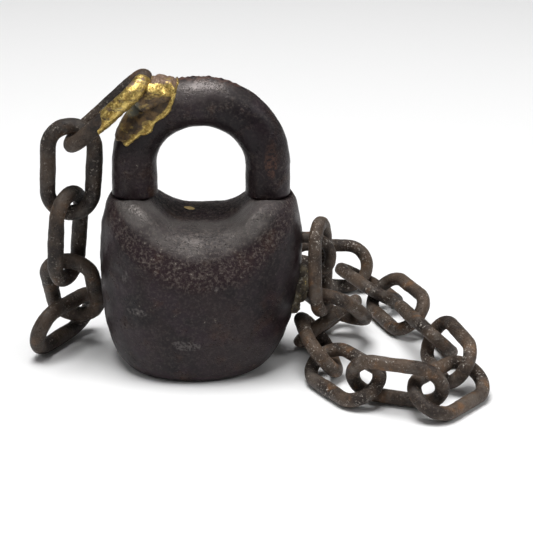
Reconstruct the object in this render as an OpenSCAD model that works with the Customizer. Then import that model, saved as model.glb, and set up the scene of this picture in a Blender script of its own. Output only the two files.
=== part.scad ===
// Forged padlock with a ring shackle, a back plate, a sliding two-window bolt
// and a hand-welded chain that ties the shackle to the lock body.
// The base rests on z = 0, the front faces -Y, and the shackle stands up +Z.

/* [Body] */
// Width across the widest part of the body
body_w = 84; // [82:1:88]
// Depth of the rounded front, from the shackle's plane to the front
front_depth = 32; // [31:1:34]
// Distance from the shackle's plane to the flat back
back_y = 20; // [19:0.5:21]
// Height of the seats that the shackle's legs stand on
seat_z = 73; // [72:0.5:74]
// Depth of the hollow between the legs
saddle = 12; // [8:0.5:13]

/* [Shackle] */
// Diameter of the legs
leg_d = 18.6; // [17:0.1:19]
// Centre of each leg from the middle of the lock
leg_x = 27; // [26.5:0.5:27.5]
// Height of the crown's centre line
crown_z = 113; // [108:1:116]
// Diameter of the plugs that drop into the body
plug_d = 14; // [13.5:0.5:14]

/* [Lockwork] */
// Thickness of the bolt bar
bolt_t = 6; // [5:0.5:6]
// How far the key throws the bolt
bolt_throw = 4.2; // [3.5:0.1:4.2]
// Height of the underside of the bolt bar
bolt_z = 50; // [50:0.5:51]
// Thickness of each ward plate
ward_t = 1.6; // [1.2:0.2:2.4]
// Distance from one ward plate to the next
ward_pitch = 7; // [6:0.5:7]

/* [Chain] */
// Outside length of the link brazed to the shackle
first_l = 47.5; // [46:0.5:49]
// Outside length of a large link
big_l = 44; // [43:0.5:45]
// Outside width of a large link
big_w = 26; // [25.5:0.5:27]
// Wire of a large link
big_d = 7; // [6.6:0.2:7]
// Outside length of a small link
small_l = 42.5; // [42:0.5:43]
// Outside width of a small link
small_w = 25; // [24.5:0.5:25.5]
// Wire of a small link
small_d = 6.2; // [5.8:0.2:6.2]

/* [Hidden] */
$fn = 64;
run_gap = 0.1;
far_gap = 0.3;
body_rx = body_w / 2;

// Links that lie on the floor keep this much daylight under them.
floor_gap = 0.2;
function lying(x, y, heading, roll, w, d) =
    [x, y, d / 2 + floor_gap + (w - d) / 2 * abs(sin(roll)), heading, 0, roll];

// Centre, heading, climb and roll of each link, from the staple round behind the
// lock. Heading 0 points along +X and 90 along +Y; roll 0 lays a link flat.
staple_links = concat(
    [[48.8, -2.6, 42, 275, -78, 110], [56.5, 7.5, 19.7, 62, -37, 0]],
    [for (p = [
        [53, 14.5, 238, 45], [48, -10.5, 278, -50], [58, -34, 304, 30], [78, -49, 342, -70],
        [99, -46, 48, 30], [101, -20, 105, -60], [94, 6, 110, 45], [84, 33, 112, -45],
        [73, 58.5, 117, 30], [54.5, 71.5, 175, -75], [29.5, 73.5, 183, 45], [0.5, 72, 186, -45]])
        lying(p[0], p[1], p[2], p[3], small_w, small_d)]);

// The same for the large links that hang from the shackle.
hung_links = [
    [-36.8, -1, 108.5, 180, -42, 0], [-52.7, -1, 83.7, 180, -86, 90], [-55, -1.2, 54.9, 180, -85, 25],
    [-55.3, 7.5, 28.3, 85, -60, 0], lying(-59.5, 9.5, 240, 70, big_w, big_d)];

ward_count = 5;
link_name = function(set, i) str("chain_", set, "_", i < 10 ? "0" : "", i);

iron = "#2b2523";
steel = "#5a5450";
rust = "#5d4a3c";
gold = "#a98536";

// ---- Body -------------------------------------------------------------

// Share of the full plan, and height, of each ring of the body from base to top.
body_rings = [
    [0.30, 0], [0.62, 0], [0.72, 1.5], [0.80, 5], [0.87, 11], [0.94, 21], [0.98, 32], [1, 43],
    [0.995, 53], [0.975, 61], [0.95, 67], [0.92, 71.5], [0.87, 74.5], [0.78, 76], [0.6, 76], [0.4, 76],
    [0.2, 76]];
body_top = 76;
lean = 3.5;
back_droop = 5;
plan_n = 2.25;
depth_share = 0.65;
ring_sides = 56;
// The trough between the legs: its half width, and the height where it starts.
trough_half = 19;
trough_z = 50;
front_slope = 0.45;

function power(v, p) = sign(v) * pow(abs(v), p);
function plan_point(share, a) = [
    share * body_rx * power(cos(a), 2 / plan_n),
    pow(share, depth_share) * (front_depth + 1) * power(sin(a), 2 / plan_n)];

// How far the top is hollowed at a point: a trough between the legs that runs
// over the front edge and fades down the front.
function hollow(x, y) = saddle * exp(-pow(x / trough_half, 4)) * (y < 0 ? 1 : 1 - y / (3 * back_y));
function body_point(ring, a) =
    let (p = plan_point(ring[0], a),
         top = max(0, min(1, (ring[1] - trough_z) / (body_top - trough_z))),
         h = hollow(p[0], p[1]) * top * top,
         droop = back_droop * top * top * max(0, p[1]) / back_y)
    [p[0] - lean * pow(1 - ring[1] / body_top, 2),
         p[1] < 0 ? p[1] + front_slope * h * min(1, -p[1] / back_y) : p[1],
         ring[1] - h - droop];

module body_lump() {
    n = ring_sides;
    m = len(body_rings);
    points = concat(
        [for (r = body_rings) for (k = [0:n - 1]) body_point(r, 360 * k / n)],
        [[-lean, 0, 0], [0, 0, body_top - saddle]]);
    faces = concat(
        [for (j = [0:m - 2]) for (k = [0:n - 1]) [j * n + k, (j + 1) * n + k, (j + 1) * n + (k + 1) % n]],
        [for (j = [0:m - 2]) for (k = [0:n - 1]) [j * n + k, (j + 1) * n + (k + 1) % n, j * n + (k + 1) % n]],
        [for (k = [0:n - 1]) [m * n, k, (k + 1) % n]],
        [for (k = [0:n - 1]) [m * n + 1, (m - 1) * n + (k + 1) % n, (m - 1) * n + k]]);
    polyhedron(points, faces, convexity = 6);
}

plate_t = 4;
plate_w = 63;
plate_z0 = 14;
plate_z1 = 61;
plate_r = 9;
chamber_y0 = -8.3;
bolt_half = 31.4;
chamber_x0 = -bolt_half - 0.4;
chamber_x1 = bolt_half + bolt_throw + 0.4;
chamber_z0 = 12;
chamber_z1 = 58;
key_y = 4;
key_r = 4.3;
key_reach = 10.4;
key_web = 3.4;

module plate_outline() {
    w = plate_w / 2 - plate_r;
    for (x = [-w, w], z = [plate_z0 + plate_r, plate_z1 - plate_r]) translate([x, z]) circle(r = plate_r);
    translate([-plate_w / 2, plate_z0 + plate_r]) square([plate_w, plate_z1 - plate_z0 - 2 * plate_r]);
    translate([-w, plate_z0]) square([2 * w, plate_z1 - plate_z0]);
}

module slab_on_back(y0, y1) translate([0, y1, 0]) rotate([90, 0, 0]) linear_extrude(y1 - y0) children();

module keyway(z0, z1) {
    translate([0, key_y, z0]) cylinder(r = key_r, h = z1 - z0);
    translate([-key_reach, key_y - key_web / 2, z0]) cube([2 * key_reach, key_web, z1 - z0]);
}

staple_d = 5;
staple_x = body_rx + 11;
staple_z = 54;
staple_drop = 17;
stay_x = 17;
stay_d = 4;
rivet_d = 5;
rivets = [[-26, 21.7], [26, 21.7], [-26, 52], [26, 52], [0, 57.5], [0, 17.5]];

module body() color(iron) difference() {
    body_lump();
    translate([-60, back_y, -1]) cube([120, 40, 90]);
    for (s = [-1, 1]) translate([s * leg_x, 0, 0]) {
        translate([0, 0, seat_z]) cylinder(d = leg_d + 1.2, h = 20);
        translate([0, 0, chamber_z1 - 1]) cylinder(d = plug_d + 2 * run_gap, h = 30);
    }
    slab_on_back(back_y - plate_t, back_y + 1) plate_outline();
    translate([-27.5, chamber_y0, chamber_z0]) cube([55, back_y - chamber_y0 - 1, chamber_z1 - chamber_z0]);
    translate([chamber_x0, chamber_y0, bolt_z - 0.5])
        cube([chamber_x1 - chamber_x0, back_y - plate_t - chamber_y0 + 0.5, chamber_z1 - bolt_z + 0.5]);
    // Wells that take the foot of each tail below the bolt's shelf.
    for (s = [-1, 1]) translate([s * tail_x - tail_w / 2 - far_gap, -tail_d / 2 - far_gap, tail_z - far_gap])
        cube([tail_w + 2 * far_gap, tail_d + 2 * far_gap, bolt_z - tail_z]);
    keyway(-1, chamber_z0 + 1);
    for (s = [-1, 1]) translate([s * stay_x, key_y, 4]) cylinder(d = stay_d, h = 12);
    for (z = [staple_z, staple_z - staple_drop])
        translate([body_rx - 5, 0, z]) rotate([0, 90, 0]) cylinder(d = staple_d, h = 20);
    for (p = rivets) translate([p[0], back_y - plate_t - 6, p[1]]) rotate([-90, 0, 0]) cylinder(d = rivet_d, h = 12);
}

module back_plate() color(steel) difference() {
    slab_on_back(back_y - plate_t, back_y) plate_outline();
    for (p = rivets) translate([p[0], back_y - plate_t - 1, p[1]]) rotate([-90, 0, 0]) cylinder(d = rivet_d, h = 12);
}

module back_plate_rivets() color(steel) for (p = rivets) translate([p[0], back_y, p[1]]) rotate([-90, 0, 0]) {
    // A low dome, and a shank that passes the plate into the wall beside the chamber.
    rise = 1.6;
    ball = (pow(rivet_d * 0.85, 2) + rise * rise) / (2 * rise);
    shank = p[0] == 0 ? plate_t : plate_t + 6;
    translate([0, 0, -shank]) cylinder(d = rivet_d, h = shank);
    intersection() {
        translate([0, 0, rise - ball]) sphere(r = ball);
        cylinder(d = 2 * rivet_d, h = rise + 1);
    }
}

// ---- Lockwork ---------------------------------------------------------

ward_w = 48;

module ward_plate(i) color(steel) difference() {
    z = chamber_z0 + i * ward_pitch - ward_t;
    translate([-ward_w / 2, chamber_y0 + far_gap, z])
        cube([ward_w, back_y - plate_t - chamber_y0 - 2 * far_gap, ward_t]);
    keyway(z - 1, z + ward_t + 1);
    for (s = [-1, 1]) translate([s * stay_x, key_y, z - 1]) cylinder(d = stay_d, h = ward_t + 2);
}

module ward_stays() color(steel) for (s = [-1, 1]) translate([s * stay_x, key_y, 4]) {
    cylinder(d = stay_d, h = chamber_z0 + ward_count * ward_pitch - 4);
    translate([0, 0, chamber_z0 + ward_count * ward_pitch - 4]) cylinder(d = stay_d + 2, h = 0.8);
}

tail_x = 25;
tail_w = 7.4;
tail_d = 7.8;
tail_z = 47.4;
notch = 4.5;

module bolt() color(steel) {
    difference() {
        union() {
            translate([-bolt_half, -8, bolt_z]) cube([2 * bolt_half, 16, bolt_t]);
            translate([-13, 7, bolt_z]) cube([26, 8, bolt_t]);
        }
        for (s = [-1, 1]) translate([s * tail_x - tail_w / 2 - far_gap, -tail_d / 2 - far_gap, bolt_z - 1])
            cube([tail_w + 2 * far_gap, tail_d + 2 * far_gap, bolt_t + 2]);
    }
    for (x = [-12, 8]) translate([x, 9, bolt_z - 2.4]) cube([4, 6, 2.5]);
}

// A bowed leaf that bears on the roof of the chamber over the bolt.
module bolt_spring() color(steel) translate([0, -4, 0]) {
    bow = 60;
    leaf = 0.7;
    translate([0, 0, chamber_z1 - 0.05 - bow]) rotate([-90, 0, 0]) rotate([0, 0, -99])
        rotate_extrude(angle = 18, $fn = 180) translate([bow - leaf, 0]) square([leaf, 6]);
}

// ---- Shackle ----------------------------------------------------------

crown_rise = leg_x;

module leg(s) {
    translate([s * leg_x, 0, seat_z + far_gap]) cylinder(d = leg_d, h = crown_z - crown_rise - seat_z - far_gap);
    difference() {
        translate([s * leg_x, 0, chamber_z1 + 1]) cylinder(d = plug_d, h = seat_z - chamber_z1);
        translate([s * leg_x - 20, -20, chamber_z1 - 3]) cube([40, 40, 4]);
    }
    difference() {
        translate([s * tail_x - tail_w / 2, -tail_d / 2, tail_z]) cube([tail_w, tail_d, chamber_z1 - tail_z + 1]);
        translate([s * tail_x - tail_w / 2 - 1, -10, bolt_z - far_gap]) cube([notch + 1, 20, bolt_t + 2 * far_gap]);
    }
}

module shackle() color(iron) {
    for (s = [-1, 1]) leg(s);
    translate([0, 0, crown_z - crown_rise]) rotate([90, 0, 0])
        rotate_extrude(angle = 180) translate([leg_x, 0]) circle(d = leg_d);
}

// ---- Chain ------------------------------------------------------------

module link_ring(l, w, d) {
    r = (w - d) / 2;
    for (s = [-1, 1]) translate([0, s * r, 0]) rotate([0, 90, 0]) cylinder(d = d, h = l - w, center = true);
    for (s = [0, 180]) rotate([0, 0, s]) translate([(l - w) / 2, 0, 0]) rotate([0, 0, -90])
        rotate_extrude(angle = 180) translate([r, 0]) circle(d = d, $fn = 32);
}

module placed_link(a, l, w, d) {
    translate([a[0], a[1], a[2]]) rotate([0, 0, a[3]]) rotate([0, -a[4], 0]) rotate([a[5], 0, 0]) link_ring(l, w, d);
}

module left_link(i) color(rust) placed_link(hung_links[i - 1], i == 1 ? first_l : big_l, big_w, big_d);
module right_link(i) color(rust) placed_link(staple_links[i - 1], small_l, small_w, small_d);

module staple() color(rust) {
    r = staple_drop / 2;
    x = staple_x - r;
    for (z = [staple_z, staple_z - staple_drop])
        translate([body_rx - 5, 0, z]) rotate([0, 90, 0]) cylinder(d = staple_d, h = x - body_rx + 5);
    translate([x, 0, staple_z - r]) rotate([90, 0, 0]) rotate([0, 0, -90])
        rotate_extrude(angle = 180) translate([r, 0]) circle(d = staple_d, $fn = 32);
}

// ---- Braze --------------------------------------------------------------

// Brass run over the left shoulder of the shackle and round the first link.
module braze_on_shackle() color(gold) difference() {
    union() {
        translate([0, 0, crown_z - crown_rise]) rotate([90, 0, 0]) rotate([0, 0, 102])
            rotate_extrude(angle = 44) translate([leg_x, 0]) circle(d = leg_d + 1.6);
        for (p = [[-19, -2, 119.5, 8.5], [-26, -5, 115, 7.5], [-25, 3, 116, 7.5]]) translate([p[0], p[1], p[2]]) sphere(r = p[3]);
    }
    translate([0, 0, crown_z - crown_rise]) rotate([90, 0, 0]) rotate_extrude() translate([leg_x, 0]) circle(d = leg_d);
    left_link(1);
}

// Rough deposit that holds the lower leg of the staple in the body's side.
module braze_on_body() color(gold) difference() {
    for (p = [[40.2, -3.5, 39.5, 5.4], [39.6, -5, 34, 4.2], [38.4, -6, 29, 3.5]]) translate([p[0], p[1], p[2]]) sphere(r = p[3], $fn = 32);
    body_lump();
    staple();
}

// ---- Assembly ---------------------------------------------------------

body();
back_plate();
back_plate_rivets();
ward_stays();
for (i = [1:ward_count]) ward_plate(i);
bolt();
bolt_spring();
shackle();
staple();
braze_on_shackle();
braze_on_body();
for (i = [1:len(hung_links)]) left_link(i);
for (i = [1:len(staple_links)]) right_link(i);
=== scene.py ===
"""A large forged padlock: a leaning lump of a body, a half-ring shackle held by two
barbed tails, brass run over an old repair, and two lengths of hand-welded chain."""

import bpy
import numpy as np
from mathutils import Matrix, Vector


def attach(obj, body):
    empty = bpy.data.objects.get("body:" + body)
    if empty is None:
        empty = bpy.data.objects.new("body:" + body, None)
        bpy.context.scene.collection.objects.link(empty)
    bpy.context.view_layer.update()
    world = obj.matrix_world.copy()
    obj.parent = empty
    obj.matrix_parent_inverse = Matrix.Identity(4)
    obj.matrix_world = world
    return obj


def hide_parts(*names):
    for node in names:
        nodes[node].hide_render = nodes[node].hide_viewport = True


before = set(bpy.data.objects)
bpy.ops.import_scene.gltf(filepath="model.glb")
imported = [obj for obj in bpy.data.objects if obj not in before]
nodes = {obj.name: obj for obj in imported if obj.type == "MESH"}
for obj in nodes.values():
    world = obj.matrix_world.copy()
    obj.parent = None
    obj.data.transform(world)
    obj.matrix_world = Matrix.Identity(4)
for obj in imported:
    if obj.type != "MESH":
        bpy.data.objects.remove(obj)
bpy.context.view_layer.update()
MM = 0.001


# ---- Lock body ---------------------------------------------------------
# One heavy lump of iron, forged hollow and dressed with a hammer. The base is
# flattened, the top is scooped between the two seats of the shackle, and a soft
# ridge runs across the front where the scoop ends.

body_width, front_depth, back_plane = 84, 33, 20
body_top, body_lean, squareness = 76, 3.5, 2.25
saddle_depth, saddle_half, back_droop, droop_foot = 12, 19, 5, 50
ridge_middle, ridge_rise, sunk_depth, dressed_share = 45, 15, 2.0, 0.42
# Share of the full width, and height, from the middle of the base up over the top.
foot_profile = [
    (0.02, 0), (0.30, 0), (0.62, 0), (0.72, 1.5), (0.80, 5), (0.87, 11), (0.94, 21), (0.98, 32)]
profile = np.array(foot_profile + [
    (1, 43), (0.995, 53), (0.975, 61), (0.95, 67), (0.92, 71.5), (0.87, 74.5), (0.78, 76),
    (0.6, 76), (0.4, 76), (0.2, 76), (0.02, 76)])
# The same at the middle of the front, where the edge is dressed away.
front_profile = np.array(foot_profile + [
    (0.99, 40), (0.98, 47), (0.945, 53), (0.88, 59), (0.79, 65), (0.67, 70), (0.52, 74),
    (0.35, 76), (0.2, 76), (0.02, 76)])
# Hammer marks: how far across, how deep, and the seed of each set.
marks_all_over, hammer_marks = 0.35, ((17, 0.32, 3), (6, 0.14, 4), (2.4, 0.06, 5))
leg_apart, seat_height, seat_across, seat_open = 27, 73, 19.8, 95
plug_bore, bore_foot, bore_top = 14.2, 57, 90
# Hollows as the limits of each block along x, y and z: for the wards, for the bolt with
# its spring and for the key's blade. The wells take the feet of the tails. A cutter that
# leaves the body stands clear of it.
chamber = (-27.5, 27.5, -8.3, 18.9, 12.2, 57.8)
bolt_channel = (-31.8, 36, -8.3, 16.5, 49.5, 58)
key_slot = (-10.4, 10.4, 2.3, 5.7, -3.1, 13)
key_y, key_height, key_radius, clear = 4, 13, 4.3, 3
tail_apart, well_half, well_deep, well_floor, well_top = 25, 4, 4.2, 47.1, 49.8
plate_half, plate_foot, plate_top, plate_corner, plate_floor = 31.7, 13.8, 61.2, 9.1, 15.9


def smoothstep(low, high, value):
    """0 below low, 1 above high, and a smooth S between them."""
    t = np.clip((value - low) / (high - low), 0, 1)
    return t * t * (3 - 2 * t)


def rumple(points, size, seed, waves=14):
    """Smooth unevenness from about -1 to 1 at each point: a sum of sine waves about
    size long, each running in its own seeded direction, scaled down to that range."""
    peak = 1.6
    rng = np.random.default_rng(seed)
    ways = rng.normal(size=(waves, 3))
    ways /= np.linalg.norm(ways, axis=1, keepdims=True)
    ways *= 2 * np.pi / (size * rng.uniform(0.7, 1.6, (waves, 1)))
    waved = np.sin(points @ ways.T + rng.uniform(0, 2 * np.pi, waves))
    return waved.sum(-1) / np.sqrt(waves) / peak


def resample(line, count, passes=0):
    """count points spread evenly along a broken line, its corners eased by averaging
    each point with its neighbours a few times."""
    line = np.asarray(line, float)
    along = np.r_[0, np.cumsum(np.linalg.norm(np.diff(line, axis=0), axis=1))]
    t = np.linspace(0, along[-1], count)
    out = np.stack([np.interp(t, along, line[:, k]) for k in range(line.shape[1])], 1)
    for _ in range(passes):
        out[1:-1] = (out[:-2] + 2 * out[1:-1] + out[2:]) / 4
    return out


def solid(name, grids, looped=False):
    """One object from closed skins, given in millimetres. Each grid is rows of points
    round a section; its ends are closed to a point, or joined to each other when looped.
    Every skin is turned so that its faces point outwards."""
    points, faces, start = [], [], 0
    for grid in grids:
        rows, around = grid.shape[:2]
        skin = grid.reshape(-1, 3)
        bands = rows if looped else rows - 1
        r, c = np.meshgrid(np.arange(bands), np.arange(around), indexing="ij")
        r2, c2 = (r + 1) % rows, (c + 1) % around
        quads = np.stack([r * around + c, r * around + c2, r2 * around + c2, r2 * around + c], -1)
        quads = quads.reshape(-1, 4)
        tris = np.concatenate([quads[:, [0, 1, 2]], quads[:, [0, 2, 3]]])
        if not looped:
            skin = np.concatenate([skin, [grid[0].mean(0), grid[-1].mean(0)]])
            k = np.arange(around)
            foot, head, last = len(skin) - 2, len(skin) - 1, (rows - 1) * around
            tris = np.concatenate([
                tris,
                np.stack([np.full(around, foot), (k + 1) % around, k], 1),
                np.stack([np.full(around, head), last + k, last + (k + 1) % around], 1)])
        one, two, three = (skin - skin.mean(0))[tris].transpose(1, 0, 2)
        volume = np.einsum("ij,ij->", one, np.cross(two, three))
        if volume < 0:
            tris = tris[:, ::-1]
        points.append(skin)
        faces.append(tris + start)
        start += len(skin)
    mesh = bpy.data.meshes.new(name)
    mesh.from_pydata(np.concatenate(points) * MM, [], np.concatenate(faces).tolist())
    mesh.polygons.foreach_set("use_smooth", np.ones(len(mesh.polygons), bool))
    piece = bpy.data.objects.new(name, mesh)
    bpy.context.scene.collection.objects.link(piece)
    return piece


def body_skin(rows, around):
    """The lump: a superellipse that grows and shrinks up the profile, which passes to
    the softer one over the middle of the front. It leans to the left at its base, is
    hollowed between the legs, sunk a little above the front ridge, lower towards the
    back, cut to a flat back and level seats, and pushed in by the hammer marks."""
    scale = np.array([body_width / 2, 1])
    plain, soft = (resample(line * scale, rows, 12) / scale for line in (profile, front_profile))
    a = np.linspace(0, 2 * np.pi, around, endpoint=False)[None]
    middle = np.exp(-(np.cos(a) / dressed_share) ** 4) * smoothstep(0, 0.5, -np.sin(a))
    share, z = ((1 - middle) * plain[:, k, None] + middle * soft[:, k, None] for k in (0, 1))
    x, y = (np.sign(way) * np.abs(way) ** (2 / squareness) for way in (np.cos(a), np.sin(a)))
    x, y = share * body_width / 2 * x, share ** 0.65 * front_depth * y
    high = np.clip((z - droop_foot) / (body_top - droop_foot), 0, 1) ** 2
    hollow = saddle_depth * np.exp(-(x / saddle_half) ** 4) * np.where(y < 0, 1, 1 - y / 60) * high
    droop = back_droop * high * (np.clip(y, 0, None) / back_plane) ** 2
    front = np.clip(-y / 20, 0, 1)
    ridge = ridge_middle + ridge_rise * (x / 30) ** 2
    sunk = sunk_depth * front * smoothstep(-4, 8, z - ridge) * smoothstep(-2, 14, 74 - z)
    lean = body_lean * (1 - z / body_top) ** 2
    skin = np.stack([x - lean, y + 0.45 * hollow * front + sunk, z - hollow - droop], -1)
    dents = marks_all_over
    for size, deep, seed in hammer_marks:
        dents = dents + deep * rumple(skin, size, seed)
    heart = np.array([-2, 0, 40])
    inward = skin - heart
    inward /= np.linalg.norm(inward, axis=-1, keepdims=True)
    skin -= inward * dents[..., None] * smoothstep(0.5, 4, z)[..., None]
    skin[..., 1] = np.minimum(skin[..., 1], back_plane)
    from_leg = np.hypot(np.abs(skin[..., 0]) - leg_apart, skin[..., 1])
    skin[..., 2] = np.minimum(skin[..., 2], seat_height + 0.1 + 4 * smoothstep(10.5, 17, from_leg))
    return skin


def post(x, y, z0, z1, radius, around=72):
    """A round post from z0 to z1."""
    a = np.linspace(0, 2 * np.pi, around, endpoint=False)
    rim = np.stack([x + radius * np.cos(a), y + radius * np.sin(a)], -1)
    return np.stack([np.c_[rim, np.full(around, z)] for z in (z0, z1)])


def block(x0, x1, y0, y1, z0, z1):
    """A square block between two corners."""
    rim = np.array([(x0, y0), (x1, y0), (x1, y1), (x0, y1)], float)
    return np.stack([np.c_[rim, np.full(4, z)] for z in (z0, z1)])


def recess(half, z0, z1, corner, y0, y1):
    """A rounded rectangle on the back, cut from y0 to y1."""
    turn = np.linspace(0, np.pi / 2, 12)
    ends = [(half - corner, z1 - corner, 0), (corner - half, z1 - corner, 1),
            (corner - half, z0 + corner, 2), (half - corner, z0 + corner, 3)]
    turns = [turn + k * np.pi / 2 for _, _, k in ends]
    x = np.concatenate([at + corner * np.cos(way) for (at, _, _), way in zip(ends, turns)])
    z = np.concatenate([at + corner * np.sin(way) for (_, at, _), way in zip(ends, turns)])
    return np.stack([np.stack([x, np.full(len(x), y), z], 1) for y in (y0, y1)])


def cut(piece, cutters):
    """Takes each cutter, a closed skin, out of the piece in turn."""
    for k, grid in enumerate(cutters):
        tool = solid(f"cutter_{k}", [grid])
        take = piece.modifiers.new("cut", "BOOLEAN")
        take.operation, take.solver, take.object = "DIFFERENCE", "EXACT", tool
        depsgraph = bpy.context.evaluated_depsgraph_get()
        done = bpy.data.meshes.new_from_object(piece.evaluated_get(depsgraph))
        piece.modifiers.clear()
        piece.data = done
        bpy.data.objects.remove(tool)


body = solid("lock_body", [body_skin(rows=190, around=240)])
cut(body, [
    *(post(s * leg_apart, 0, seat_height, seat_open, seat_across / 2) for s in (-1, 1)),
    *(post(s * leg_apart, 0, bore_foot, bore_top, plug_bore / 2) for s in (-1, 1)),
    block(*chamber),
    block(*bolt_channel),
    *(block(tail_apart * s - well_half, tail_apart * s + well_half, -well_deep, well_deep,
            well_floor, well_top) for s in (-1, 1)),
    recess(plate_half, plate_foot, plate_top, plate_corner, plate_floor, back_plane + clear),
    post(0, key_y, -clear, key_height, key_radius),
    block(*key_slot)])


class Signal:
    """A value inside one material. Arithmetic on it adds Math nodes."""

    def __init__(self, finish, socket):
        self.finish, self.socket = finish, socket

    def _math(self, operation, *values):
        sockets = dict(enumerate(values))
        return self.finish.node("ShaderNodeMath", {"operation": operation}, sockets)

    def __add__(self, other):
        return self._math("ADD", self, other)

    def __sub__(self, other):
        return self._math("SUBTRACT", self, other)

    def __rsub__(self, other):
        return self._math("SUBTRACT", other, self)

    def __mul__(self, other):
        return self._math("MULTIPLY", self, other)

    def __pow__(self, other):
        return self._math("POWER", self, other)

    __radd__, __rmul__ = __add__, __mul__


class Finish:
    """One procedural material, read in the object's own coordinates."""

    def __init__(self, name):
        self.material = bpy.data.materials.new(name)
        self.material.use_nodes = True
        self.tree = self.material.node_tree
        self.surface = self.tree.nodes["Principled BSDF"]
        self.place = self.node("ShaderNodeTexCoord", {}, {}, "Object")
        axes = self.tree.nodes.new("ShaderNodeSeparateXYZ")
        self.tree.links.new(self.place.socket, axes.inputs[0])
        self.x, self.y, self.z = (Signal(self, out) for out in axes.outputs)

    def node(self, kind, settings, inputs, output=0):
        """Adds a node: its settings first, then the values or links of its sockets."""
        made = self.tree.nodes.new(kind)
        for key, value in settings.items():
            setattr(made, key, value)
        for key, value in inputs.items():
            if isinstance(value, Signal):
                self.tree.links.new(value.socket, made.inputs[key])
            else:
                made.inputs[key].default_value = value
        return Signal(self, made.outputs[output])

    def grain(self, size, detail=3.0, stretch=(1, 1, 1), offset=(0, 0, 0), rough=0.55):
        """Cloudy noise whose patches are about size millimetres across."""
        at = self.node("ShaderNodeMapping", {}, {
            "Vector": self.place, "Scale": stretch, "Location": offset})
        return self.node("ShaderNodeTexNoise", {}, {
            "Vector": at, "Scale": 1000 / size, "Detail": detail, "Roughness": rough}, "Fac")

    def cells(self, size, offset=(0, 0, 0)):
        """Distance to the nearest of many scattered points about size millimetres apart."""
        at = self.node("ShaderNodeMapping", {}, {"Vector": self.place, "Location": offset})
        return self.node("ShaderNodeTexVoronoi", {}, {
            "Vector": at, "Scale": 1000 / size}, "Distance")

    def band(self, value, low, high):
        """0 below low, 1 above high, eased between; the other way round if low is the greater."""
        if low > high:
            return 1 - self.band(value, high, low)
        return self.node("ShaderNodeMapRange", {"interpolation_type": "SMOOTHSTEP"}, {
            "Value": value, "From Min": low, "From Max": high})

    def spot(self, x, z, half_width, half_height, ragged):
        """1 inside an ellipse seen from the front, in millimetres, its edge pushed about
        by a ragged signal."""
        wide = (self.x - x * MM) * (1 / (half_width * MM))
        high = (self.z - z * MM) * (1 / (half_height * MM))
        return self.band(wide * wide + high * high + 2.4 * (ragged - 0.5), 1.35, 0.65)

    def blend(self, mask, under, over):
        """One colour over another, as much as the mask says."""
        colour = lambda c: c if isinstance(c, Signal) else (*c, 1)
        return self.node("ShaderNodeMix", {"data_type": "RGBA"}, {
            0: mask, 6: colour(under), 7: colour(over)}, 2)

    def finish(self, colour, roughness, metallic, height, depth):
        """Wires the surface; height is raised by depth millimetres."""
        bump = self.node("ShaderNodeBump", {}, {
            "Height": height, "Distance": depth * MM, "Strength": 1.0})
        for key, value in (("Base Color", colour), ("Roughness", roughness),
                           ("Metallic", metallic), ("Normal", bump)):
            if isinstance(value, Signal):
                self.tree.links.new(value.socket, self.surface.inputs[key])
            else:
                self.surface.inputs[key].default_value = value
        return self.material


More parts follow.
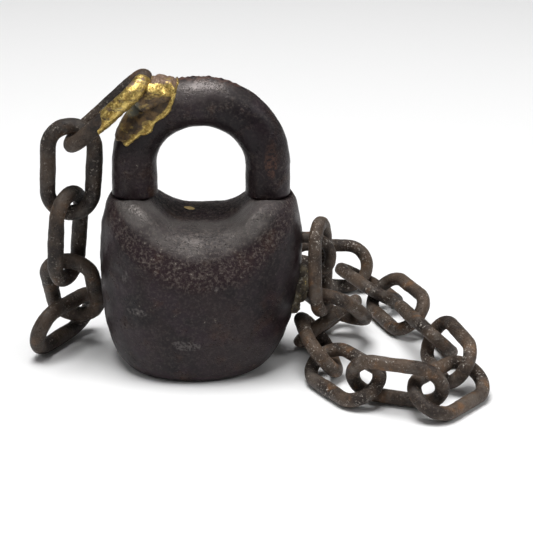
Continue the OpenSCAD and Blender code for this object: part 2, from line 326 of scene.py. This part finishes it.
def forged_iron(name, brown, specks, chip=None):
    """Old iron blackened and waxed by handling: near-black with brown and violet clouds,
    fine pits, thin scratches, bare specks where it is rubbed, a lighter, more metallic band
    that is rubbed iron and also a painted highlight, along the front ridge of the body and
    the top front of the crown, and, on the body, a coarser dark red hollow under the scooped
    top, partly stain and partly painted shade, and a chip of brass left on it. On the shackle
    a band under the crown is darkened as painted shade."""
    f = Finish(name)
    cloud, patch = f.grain(26, 4), f.grain(9, 5, offset=(3, 1, 2))
    fine, coarse = f.grain(1.3, 6, rough=0.7), f.grain(2.6, 5, offset=(4, 0, 3), rough=0.65)
    # Height in metres less the rise of the front ridge to either side.
    crest = f.z - 16 * f.x * f.x
    # Rubbed band along the front ridge of the body, or along the top front of the crown: iron
    # rubbed lighter and more metallic, which also stands in as a painted highlight there.
    if chip:
        upper = f.band(crest, 0.040, 0.047) * f.band(f.y, 0.022, 0.014)
        wear_and_highlight = f.band(crest, 0.053, 0.060) * f.band(crest, 0.072, 0.064)
        wear_and_highlight = wear_and_highlight * f.band(f.y, -0.004, -0.012)
    else:
        upper = 0.35 * f.band(patch, 0.45, 0.6)
        wear_and_highlight = 0.6 * f.band(f.z, 0.108, 0.120) * f.band(f.y, 0.001, -0.004)
    wear_and_highlight = wear_and_highlight * (0.35 + 0.9 * f.band(cloud + 0.3 * patch, 0.56, 0.78))
    hollow = upper * f.band(crest, 0.062, 0.050)
    pits = f.band(f.cells(1.4), 0.34, 0.06) * f.band(patch + 0.12 * upper, 0.50, 0.64)
    small_pits = f.band(f.cells(0.8, (1, 2, 0)), 0.36, 0.08)
    small_pits = small_pits * f.band(cloud + 0.25 * upper, 0.50, 0.62)
    scratch = f.band(f.grain(1.1, 2, (0.35, 3, 6), (0, 2, 5)), 0.69, 0.74)
    scratch = scratch * f.band(f.grain(8, 2, offset=(1, 8, 8)), 0.52, 0.60)
    dark = f.blend(f.band(cloud, 0.36, 0.64), (0.0068, 0.0040, 0.0058), (0.020, 0.0122, 0.0135))
    stain = f.band(f.grain(15, 3, offset=(5, 0, 1)), 0.46, 0.66) * 0.7
    violet = f.blend(stain, dark, (0.024, 0.0135, 0.0190))
    # Under the scooped top the iron is stained dark red and darkened further as painted shade of
    # the sunk front.
    red_stain_and_shade = f.blend(hollow * 0.65, violet, (0.018, 0.0070, 0.0095))
    rusty = f.blend(f.band(patch, 0.54, 0.72) * brown, red_stain_and_shade, (0.062, 0.030, 0.018))
    dust = f.band(fine, 0.44, 0.74) * (0.22 + 0.62 * upper)
    dusty = f.blend(dust, rusty, (0.160, 0.132, 0.115))
    clusters = f.band(f.grain(10, 3, offset=(2, 7, 3)) + 0.14 * upper, 0.54, 0.66)
    bare = f.band(fine + 0.35 * coarse, 0.835, 0.90) * clusters * specks
    scratched = f.blend(scratch * 0.4, dusty, (0.12, 0.10, 0.095))
    colour = f.blend(bare, scratched, (0.46, 0.42, 0.36))
    # Pale smears low on the front of the body, or a red patch on the shackle: the place
    # of each across and up, and its two half sizes, in millimetres.
    if chip:
        shade = (0.125, 0.112, 0.108)
        marks = ((-25, 32.5, 4, 1.5), (-5.5, 19, 6, 2.2), (6.5, 44.5, 2, 1), (-30, 47, 1.2, 2.5))
    else:
        shade = (0.115, 0.050, 0.030)
        marks = ((28.5, 91, 2.6, 8),)
    for mark in marks:
        colour = f.blend(f.spot(*mark, patch) * f.band(fine, 0.40, 0.62) * 0.55, colour, shade)
    if not chip:
        # Flaking along the top of the crown, and painted shade in a dark band under it.
        flakes = f.band(f.z, 0.1170, 0.1205) * f.band(f.y, -0.005, -0.001)
        flakes = flakes * f.band(coarse, 0.42, 0.60)
        colour = f.blend(flakes * 0.8, colour, (0.125, 0.062, 0.045))
        shade_under_crown = f.band(f.z, 0.109, 0.102) * f.band(f.z, 0.088, 0.096)
        colour = f.blend(shade_under_crown * 0.6, colour, (0.0060, 0.0036, 0.0048))
    if chip:
        # The chip of brass: an ellipse lying across the saddle, edges a little ragged.
        across, back = f.x - chip[0] * MM, f.y - chip[1] * MM
        near = (across * 400) ** 2 + ((back + 0.4 * across) * 560) ** 2 + 0.8 * fine
        gold = f.band(near, 1.35, 1.05) * f.band(f.z, 0.055, 0.057)
        colour = f.blend(gold, colour, (0.62, 0.45, 0.20))
    # The rubbed band is lightened: worn iron, and a painted highlight.
    colour = f.blend(wear_and_highlight * 0.65, colour, (0.215, 0.198, 0.188))
    roughness = 0.31 + 0.20 * fine + 0.10 * upper + 0.14 * pits - 0.05 * cloud
    height = (0.14 + 0.5 * upper) * fine + 0.35 * patch + (0.12 + 0.75 * upper) * coarse
    height = height - 0.7 * pits - 0.35 * small_pits - 0.1 * scratch
    f.surface.inputs["Specular IOR Level"].default_value = 0.20
    return f.finish(colour, roughness, 0.05 + 0.75 * wear_and_highlight, height, 0.60)


body.data.materials.append(forged_iron("waxed_body_iron", 0.35, 0.9, chip=(-5.3, 6.0)))
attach(body, "lock")
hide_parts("body")


# ---- Shackle -----------------------------------------------------------
# A bar of round iron bent to a half ring, with a thick crown and two straight legs.
# Each leg ends in a plug that drops into the body and a barbed tail for the bolt.

leg_radius, plug_radius, arch_height = 9.3, 7, 86
plug_foot, leg_foot, thin_leg = 58, 73.3, 0.985
crown_swell, inward_pull = 0.8, 0.8
tail_half, tail_depth = 3.7, 3.9


def shackle_skin(along, around):
    """A tube up one leg, round the arch and down the other, swept with a section that
    narrows to the plugs, swells at the crown and is slightly uneven. Each point stands
    off the middle line by the radius there, out from the arch and across it."""
    # Radius and height up a leg, with the corners of the plug and the leg eased.
    line = np.array([
        (plug_radius - 0.4, plug_foot), (plug_radius, plug_foot + 0.4), (plug_radius, leg_foot),
        (leg_radius - 0.5, leg_foot), (leg_radius - 0.15, leg_foot + 0.25),
        (leg_radius, leg_foot + 0.7), (leg_radius, arch_height)])
    up = resample(line, 60)
    turn = np.linspace(0, np.pi, along)[1:-1]
    crown = np.sin(turn) ** 2
    leg = np.full(len(up), leg_apart)
    arch = leg_apart - inward_pull * crown
    x = np.r_[-leg, -arch * np.cos(turn), leg]
    z = np.r_[up[:, 1], arch_height + arch * np.sin(turn), up[::-1, 1]]
    size = np.r_[up[:, 0], leg_radius + 0 * turn, up[::-1, 0] * thin_leg]
    swell = np.r_[0 * leg, crown_swell * crown, 0 * leg]
    out = np.stack([x, 0 * x, np.maximum(z - arch_height, 0)], 1)
    out[:, 0] = np.where(z < arch_height, np.sign(x), out[:, 0])
    out /= np.linalg.norm(out, axis=1, keepdims=True)
    a = np.linspace(0, 2 * np.pi, around, endpoint=False)
    middle = np.stack([x, 0 * x, z], 1)[:, None]
    skin = middle + (size + swell)[:, None, None] * np.cos(a)[None, :, None] * out[:, None]
    skin[..., 1] += size[:, None] * np.sin(a)[None]
    on_leg = size > plug_radius + 1
    free = (smoothstep(seat_height, seat_height + 4, z) * on_leg)[:, None]
    uneven = 0.16 + 0.16 * rumple(skin, 15, 11) + 0.09 * rumple(skin, 5, 12)
    # Flakes of rust stand up along the top of the crown, towards the back.
    across, back, high = np.moveaxis(skin, -1, 0)
    crest = smoothstep(117, 120, high) * smoothstep(-5, -1, back) * smoothstep(-12, -8, across)
    uneven = uneven - 0.4 * crest * np.clip(rumple(skin, 1.8, 15) + 0.3, 0, 1.2)
    outward = (skin - middle) / np.linalg.norm(skin - middle, axis=-1, keepdims=True)
    return skin - outward * (uneven * free)[..., None]


def tail_skin(side):
    """A square tail under a plug, notched on its left where the bolt's window catches it."""
    foot, notch = 1.7, 0.8
    # Height, and the left and right faces there, from the foot up.
    steps = np.array([
        (47.4, -foot, foot), (47.41, -tail_half, tail_half), (49.6, -tail_half, tail_half),
        (49.7, notch, tail_half), (56.3, notch, tail_half), (56.4, -tail_half, tail_half),
        (58.9, -tail_half, tail_half), (59, -tail_half, tail_half)])
    z, left, right = steps.T
    x = tail_apart * side + np.stack([left, right, right, left], 1)
    y = tail_depth * np.array([-1, -1, 1, 1])[None] + 0 * x
    return np.stack([x, y, z[:, None] + 0 * x], -1)


shackle = solid("half_ring_shackle", [
    shackle_skin(along=190, around=64), tail_skin(-1), tail_skin(1)])
shackle.data.materials.append(forged_iron("waxed_shackle_iron", 0.6, 0.4))
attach(shackle, "shackle")
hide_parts("shackle")


# ---- Large links ---------------------------------------------------------
# Short lengths of round rod bent to ovals and forge-welded on one side. The first
# is brazed to the shackle and the others hang from it down the lock's left side.

def link_frame(node):
    """Centre, the long, wide and thin directions, and the three sizes of a link, from
    the spread of the corners of its solid."""
    corners = np.empty(len(node.data.vertices) * 3)
    node.data.vertices.foreach_get("co", corners)
    corners = np.unique(np.round(corners.reshape(-1, 3) / MM, 3), axis=0)
    axes = np.linalg.svd(corners - corners.mean(0), full_matrices=False)[2]
    reach = corners @ axes.T
    return (reach.min(0) + reach.max(0)) / 2 @ axes, axes, np.ptp(reach, axis=0)


def link_skin(node, seed, along=120, around=24):
    """An oval ring of rod: two straight sides and two half circles, each point pushed
    about a little, with a thicker welded place on one side and hammered flats."""
    centre, axes, (length, width, wire) = link_frame(node)
    rng = np.random.default_rng(seed)
    bend, half = (width - wire) / 2, (length - width) / 2
    side, arc = 2 * half, np.pi * bend
    s = np.linspace(0, 2 * (side + arc), along, endpoint=False)
    # Parts of the oval in turn: near side, one end, far side, other end.
    part = np.select([s < side, s < side + arc, s < 2 * side + arc], [0, 1, 2], 3)
    t = s - np.array([0, side, side + arc, 2 * side + arc])[part]
    turn = t / bend - np.pi / 2
    reach, rise = bend * np.cos(turn), bend * np.sin(turn)
    u = np.choose(part, [t - half, half + reach, half - t, -half - reach])
    v = np.choose(part, [-bend + 0 * t, rise, bend + 0 * t, -rise])
    phase = 2 * np.pi * s / s[-1]
    line = np.stack([u, v, 0 * u], 1)
    line[:, 1] *= 1 - 0.02 * (1 + np.cos(phase + rng.uniform(0, 6)))
    line[:, 2] += 0.12 * np.sin(2 * phase + rng.uniform(0, 6))
    ahead = np.roll(line, -1, 0) - np.roll(line, 1, 0)
    ahead /= np.linalg.norm(ahead, axis=1, keepdims=True)
    outward = np.cross(ahead, [0, 0, 1.0])
    a = np.linspace(0, 2 * np.pi, around, endpoint=False)
    weld_at = s - side * rng.uniform(0.35, 0.65) - (side + arc) * rng.integers(0, 2)
    weld = np.exp(-(weld_at / (0.16 * length)) ** 2)
    thick = wire / 2 * (0.965 + 0.05 * weld - 0.025 * np.cos(2 * phase + rng.uniform(0, 6)) ** 2)
    flat = 1 - 0.035 * np.cos(2 * a[None] + rng.uniform(0, 3)) ** 2
    ring = np.cos(a)[None, :, None] * outward[:, None]
    ring = ring + np.sin(a)[None, :, None] * np.array([0, 0, 1.0])
    skin = line[:, None] + ring * (thick[:, None] * flat)[..., None]
    wear_and_highlight = 0.06 + 0.07 * rumple(skin, 3.2, seed + 50) + 0.05 * rumple(skin, 8, seed + 90)
    skin -= ring * wear_and_highlight[..., None]
    return centre + skin @ axes


def rusty_rod(name, light, orange, bare):
    """Rod gone brown all over: darker where it is greasy, orange in scattered patches,
    and rubbed grey in clusters of fine specks."""
    f = Finish(name)
    tint = lambda *c: tuple(light * v for v in c)
    cloud, patch = f.grain(13, 4, offset=(1, 5, 2)), f.grain(4, 5)
    fine, coarse = f.grain(0.9, 6, rough=0.7), f.grain(1.7, 5, offset=(6, 3, 3), rough=0.65)
    scale = f.band(f.cells(1.2), 0.36, 0.08) * f.band(patch, 0.45, 0.58)
    dry = f.band(cloud, 0.38, 0.62)
    brown = f.blend(dry, tint(0.020, 0.0125, 0.0090), tint(0.084, 0.055, 0.036))
    ash = f.band(f.grain(6, 4, offset=(7, 7, 7)), 0.48, 0.66) * 0.6
    grey = f.blend(ash, brown, tint(0.105, 0.088, 0.074))
    bloom = f.band(f.grain(8, 5, offset=(2, 9, 4)), 0.55, 0.72) * orange
    rust = f.blend(bloom, grey, (0.19, 0.090, 0.033))
    dusty = f.blend(f.band(fine, 0.52, 0.70) * 0.45, rust, tint(0.24, 0.185, 0.140))
    clusters = f.band(f.grain(7, 3, offset=(9, 2, 1)), 0.47, 0.60)
    rubbed = f.band(fine + 0.4 * coarse, 0.76, 0.86) * clusters * bare
    colour = f.blend(rubbed, dusty, (0.47, 0.43, 0.38))
    roughness = 0.46 + 0.22 * fine + 0.10 * scale - 0.12 * rubbed
    height = 0.5 * fine + 0.45 * patch + 0.55 * coarse - 0.8 * scale
    f.surface.inputs["Specular IOR Level"].default_value = 0.40
    return f.finish(colour, roughness, 0.1, height, 0.65)


dark_rod = rusty_rod("dark_rusty_rod", light=0.62, orange=0.30, bare=0.45)
large_links, small_links = 5, 14
for number in range(1, large_links + 1):
    name = f"chain_left_{number:02d}"
    link = solid(f"large_link_{number}", [link_skin(nodes[name], number)], looped=True)
    link.data.materials.append(dark_rod)
    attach(link, "shackle" if number == 1 else f"left_link_{number:02d}")
    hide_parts(name)


# ---- Small links and their staple ----------------------------------------
# The same work in thinner rod. The chain starts at an iron staple driven into the
# lock's right side, lies in a loop on the floor, and runs back behind the lock.

chain_rod = rusty_rod("brown_rusty_rod", light=1.0, orange=0.62, bare=0.85)
for number in range(1, small_links + 1):
    name = f"chain_right_{number:02d}"
    link = solid(f"small_link_{number}", [link_skin(nodes[name], 20 + number)], looped=True)
    link.data.materials.append(chain_rod)
    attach(link, f"right_link_{number:02d}")
    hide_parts(name)

staple_bend, staple_wire, staple_top = 8.5, 2.5, 54
staple_root, staple_surface, staple_straight, staple_turn = 37, 41, 43, 44.5


def staple_skin(around=24):
    """Rod bent to a U on its side, both legs into the body, a little uneven: straight
    out, half a circle down, and straight back in."""
    turn = np.linspace(np.pi / 2, -np.pi / 2, 60)
    middle, foot = staple_top - staple_bend, staple_top - 2 * staple_bend
    leg = (staple_root, staple_surface, staple_straight)
    reach, rise = staple_bend * np.cos(turn), staple_bend * np.sin(turn)
    line = np.concatenate([
        [(x, 0, staple_top) for x in leg],
        np.stack([staple_turn + reach, 0 * turn, middle + rise], 1),
        [(x, 0, foot) for x in leg[::-1]]])
    line = resample(line, 110)
    ahead = np.gradient(line, axis=0)
    ahead /= np.linalg.norm(ahead, axis=1, keepdims=True)
    out = np.cross(ahead, [0, 1.0, 0])
    a = np.linspace(0, 2 * np.pi, around, endpoint=False)
    ring = np.cos(a)[None, :, None] * out[:, None]
    ring = ring + np.sin(a)[None, :, None] * np.array([0, 1.0, 0])
    skin = line[:, None] + ring * staple_wire
    return skin - ring * (0.12 + 0.1 * rumple(skin, 4, 71))[..., None]


staple = solid("side_staple", [staple_skin()])
staple.data.materials.append(chain_rod)
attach(staple, "lock")
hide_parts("staple")


# ---- Brass on the shackle --------------------------------------------------
# Brazing brass run over the left shoulder of the shackle to hold the first link. It
# is thick and bright at its right edge, thin and oxidised in the middle.

coat_from, coat_to = 92, 168
edge_height, edge_x, edge_slope = 97, -27, 0.82
steep_from, steepness = -15, 0.16
gold_edge, gold_middle = (0.30, 0.19, 0.050), (0.70, 0.53, 0.17)


def coat_edge(x, largest):
    """Height of the ragged lower edge of the coat above the floor at a place across the
    lock: a slope that turns up steeply towards the crown. Takes arrays or signals, with
    the maximum of two that goes with them."""
    slope = edge_height + edge_slope * (x - edge_x)
    return slope + steepness * largest(x - steep_from, 0) ** 2


def brass_coat_skin(rows=150, around=150):
    """A coat on the left shoulder: the tube of the shackle made thicker by an amount
    that is thin in the middle, thick near the ragged edge, and falls below its surface
    outside it."""
    turn = np.linspace(np.radians(coat_from), np.radians(coat_to), rows)[:, None]
    a = np.linspace(0, 2 * np.pi, around, endpoint=False)[None]
    r = leg_apart - inward_pull * np.sin(turn) ** 2
    out = np.stack([np.cos(turn), 0 * turn, np.sin(turn)], -1)
    across = np.cos(a)[..., None] * out + np.sin(a)[..., None] * np.array([0, 1.0, 0])
    middle = r[..., None] * out + np.array([0, 0, arch_height])
    skin = middle + across * leg_radius
    x, y, z = np.moveaxis(skin, -1, 0)
    inside = z - coat_edge(x, np.maximum) + 1.3 * rumple(skin, 7, 31) + 0.5 * rumple(skin, 2.6, 35)
    foot = smoothstep(94, 98, z + 1.5 * rumple(skin, 5, 32))
    side = smoothstep(-8, -4, -y + rumple(skin, 6, 33))
    reach = smoothstep(-0.8, 1.2, inside) * foot * side
    rim = np.exp(-((inside - 1.5) / 1.1) ** 2) * reach
    lift = -0.9 + 1.25 * reach + 0.40 * rim + 0.13 * rumple(skin, 3, 34) * reach
    swell = crown_swell * np.sin(turn) ** 2 * np.abs(np.cos(a))
    return middle + across * (leg_radius + swell + lift)[..., None]


def bead_skin(line, radius, seed, around=28):
    """A rough bead along a line, swelling and shrinking, rounded off at both ends."""
    line = resample(line, 90, 6)
    ahead = np.gradient(line, axis=0)
    ahead /= np.linalg.norm(ahead, axis=1, keepdims=True)
    one = np.cross(ahead, [0.3, 1.0, 0.2])
    one /= np.linalg.norm(one, axis=1, keepdims=True)
    two = np.cross(ahead, one)
    a = np.linspace(0, 2 * np.pi, around, endpoint=False)
    ring = np.cos(a)[None, :, None] * one[:, None]
    ring = ring + np.sin(a)[None, :, None] * two[:, None]
    t = np.linspace(-1, 1, len(line))
    size = radius * np.sqrt(np.clip(1 - t ** 6, 0.02, 1))
    skin = line[:, None] + ring * size[:, None, None]
    bumps = (0.04 * radius + 0.25) * rumple(skin, 4, seed) + 0.2 * rumple(skin, 1.6, seed + 1)
    return skin + ring * (bumps * (size / radius)[:, None])[..., None]


def link_coat_skin():
    """A coat on the near bar of the first link: the link's own skin pushed outwards where
    the brass ran, and sunk below its surface everywhere else."""
    skin = link_skin(nodes["chain_left_01"], 1, along=300, around=60)
    middle = skin.mean(1, keepdims=True)
    out = (skin - middle) / np.linalg.norm(skin - middle, axis=-1, keepdims=True)
    x, y = skin[..., 0], skin[..., 1]
    facing = out @ np.array([0.35, -0.75, 0.55])
    near_shackle = smoothstep(-41, -37, x + 1.6 * rumple(skin, 4, 61))
    near_bar = smoothstep(3, 6, -y + rumple(skin, 3, 62))
    front = smoothstep(-0.35, 0.15, facing + 0.22 * rumple(skin, 3.5, 63))
    reach = near_shackle * near_bar * front
    lift = -0.5 + 0.82 * reach + 0.09 * rumple(skin, 2.4, 64) * reach
    return skin + out * lift[..., None]


def run_brass(name, gold_everywhere):
    """Brazing brass: gold on the thick edge and the ridge, brown and nearly black where
    it is thin, pinkish on top, with grey green in the low places."""
    f = Finish(name)
    patch, fine = f.grain(3.2, 5), f.grain(0.9, 5, rough=0.65)
    cloud, swirl = f.grain(7, 4, offset=(2, 2, 6)), f.grain(4.5, 4, (1, 1, 2.2), (3, 3, 3))
    across, height = f.x * 1000, f.z * 1000
    largest = lambda a, b: f.node("ShaderNodeMath", {"operation": "MAXIMUM"}, {0: a, 1: b})
    edge = f.band(height - coat_edge(across, largest) + 1.5 * patch, 5.2, 2.6)
    ridge = f.band(f.y * 1000 + 2 * patch, -5.0, -6.6) * f.band(height + 0.25 * across, 112.5, 115)
    front = f.band(f.y * 1000, 2, -2)
    if gold_everywhere:
        gilt, depth = f.band(swirl, 0.36, 0.50), 0.28
    else:
        gilt = f.band(edge + ridge + 0.55 * f.band(swirl, 0.52, 0.62), 0.3, 0.95) * front
        depth = 0.45
    gold = f.blend(f.band(fine + 0.5 * patch, 0.60, 0.92), gold_edge, gold_middle)
    brown = f.blend(f.band(patch, 0.40, 0.62), (0.040, 0.026, 0.015), (0.135, 0.082, 0.034))
    pink = f.blend(f.band(height, 118.5, 121.5) * 0.8, brown, (0.21, 0.135, 0.095))
    spot = f.band((across + 28) ** 2 + (height - 112) ** 2 + 30 * cloud, 42, 28)
    green = f.blend(spot * 0.7, pink, (0.17, 0.175, 0.135))
    colour = f.blend(gilt, green, gold)
    pits = f.band(f.cells(1.2), 0.30, 0.08)
    roughness = 0.36 + 0.22 * fine - 0.10 * gilt + 0.15 * pits
    bumps = 0.4 * fine + 0.7 * patch + 0.4 * swirl - 0.5 * pits
    return f.finish(colour, roughness, 0.25 + 0.6 * gilt, bumps, depth)


seat_bead = [(-26, -3.5, 112.5), (-20, -3, 116), (-13, -2, 116.3), (-8.5, -1.5, 115.3)]
brass = solid("shackle_brass", [brass_coat_skin(), bead_skin(seat_bead, 7, 45, 60)])
brass.data.materials.append(run_brass("run_brass", gold_everywhere=False))
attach(brass, "shackle")
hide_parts("braze_on_shackle")

link_brass = solid("link_brass", [link_coat_skin()], looped=True)
link_brass.data.materials.append(run_brass("bright_brass", gold_everywhere=True))
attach(link_brass, "shackle")


# ---- Braze on the side -----------------------------------------------------
# A rough deposit of brazing metal and slag that holds the staple's lower leg.

# Each bead: its line, radius and seed. Down the side, out to the staple, and a drip.
beads = [
    ([(38.6, -2.5, 43), (40.2, -3.5, 39.5), (39.6, -4.8, 34), (38.0, -6, 27.5)], 4.3, 51),
    ([(40, -1, 38.2), (43, -0.5, 37.4), (44.8, 0, 37)], 3.1, 53),
    ([(38.5, -7, 37), (38.6, -8, 32), (36.5, -9, 24)], 2.9, 55)]
lump = solid("side_braze", [bead_skin(*bead) for bead in beads])


def slag_brass(name):
    """Dull braze full of slag: brown and greenish with pale grains and gold flecks."""
    f = Finish(name)
    patch, fine = f.grain(2.6, 5), f.grain(0.7, 5, rough=0.7)
    base = f.blend(f.band(patch, 0.40, 0.62), (0.045, 0.034, 0.024), (0.13, 0.105, 0.065))
    grains = f.band(f.grain(1.7, 4, offset=(1, 1, 1)), 0.56, 0.66) * 0.8
    pale = f.blend(grains, base, (0.34, 0.31, 0.25))
    flecks = f.band(f.cells(1.6), 0.22, 0.14) * f.band(patch, 0.5, 0.6)
    colour = f.blend(flecks, pale, (0.55, 0.40, 0.13))
    return f.finish(colour, 0.52 + 0.25 * fine, 0.3 + 0.4 * flecks, fine + 0.9 * patch, 0.55)


lump.data.materials.append(slag_brass("slag_brass"))
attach(lump, "lock")
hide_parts("braze_on_body")


# ---- Back plate and its rivets -----------------------------------------------
# A plate let into the flat back closes the hollow, held by hammered rivets. Both are
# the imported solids, in a duller iron than the front.

plate_iron = forged_iron("back_plate_iron", 1.0, 0.6)
rivet_iron = forged_iron("rivet_iron", 0.7, 1.0)
for name, material in (("back_plate", plate_iron), ("back_plate_rivets", rivet_iron)):
    nodes[name].data.materials.clear()
    nodes[name].data.materials.append(material)


# ---- Lockwork ------------------------------------------------------------------
# Ward plates on two stays, the sliding bolt and its leaf spring, all inside the body:
# filed steel gone dull with old oil.

def filed_steel(name, colour):
    """Filed steel with fine lines one way and brown oil in patches."""
    f = Finish(name)
    lines, patch = f.grain(0.6, 3, (1, 12, 12)), f.grain(6, 4)
    oily = f.blend(f.band(patch, 0.45, 0.65), colour, (0.09, 0.06, 0.04))
    return f.finish(oily, 0.35 + 0.2 * lines + 0.1 * patch, 0.9, lines, 0.06)


ward_steel = filed_steel("ward_steel", (0.32, 0.29, 0.26))
bolt_steel = filed_steel("bolt_steel", (0.40, 0.37, 0.34))
ward_plates = 5
for name in ("ward_stays", *(f"ward_plate_{k}" for k in range(1, ward_plates + 1)),
             "bolt", "bolt_spring"):
    nodes[name].data.materials.clear()
    nodes[name].data.materials.append(bolt_steel if name.startswith("bolt") else ward_steel)


# ---- Floor, light and camera ---------------------------------------------------
# A white table under large soft lamps, seen from a little above the front.

bpy.ops.mesh.primitive_plane_add(size=8)
floor = bpy.context.object
floor.name = "white_floor"
paper = Finish("white_paper")
white = (0.86, 0.86, 0.86, 1)
floor.data.materials.append(paper.finish(white, 0.75, 0.0, paper.grain(40, 2), 0.01))

world = bpy.context.scene.world or bpy.data.worlds.new("soft_sky")
bpy.context.scene.world = world
world.use_nodes = True
sky = world.node_tree.nodes["Background"]
sky.inputs["Color"].default_value = (1, 1, 1, 1)
sky.inputs["Strength"].default_value = 0.11

# Each lamp: its place, its size in metres and its power in watts.
lamps = (
    ("overhead", (-0.10, -0.12, 1.5), 0.85, 27),
    ("front_left", (-1.0, -1.0, 1.3), 0.7, 3),
    ("right", (1.3, -0.3, 0.9), 0.6, 6))
lamp_aim = Vector((0.02, 0, 0.05))
for name, place, size, power in lamps:
    lamp = bpy.data.lights.new(name, "AREA")
    lamp.shape, lamp.size, lamp.energy = "SQUARE", size, power
    holder = bpy.data.objects.new(name, lamp)
    holder.location = place
    holder.rotation_euler = (lamp_aim - Vector(place)).to_track_quat("-Z", "Y").to_euler()
    bpy.context.scene.collection.objects.link(holder)

bpy.context.scene.view_settings.view_transform = "Standard"
eye, aim = Vector((0.0265, -0.650, 0.308)), Vector((0.0265, 0, 0.041))
camera = bpy.data.objects.new("camera", bpy.data.cameras.new("camera"))
camera.data.lens, camera.data.sensor_width = 114.55, 36
camera.location = eye
camera.rotation_euler = (aim - eye).to_track_quat("-Z", "Y").to_euler()
bpy.context.scene.collection.objects.link(camera)
bpy.context.scene.camera = camera
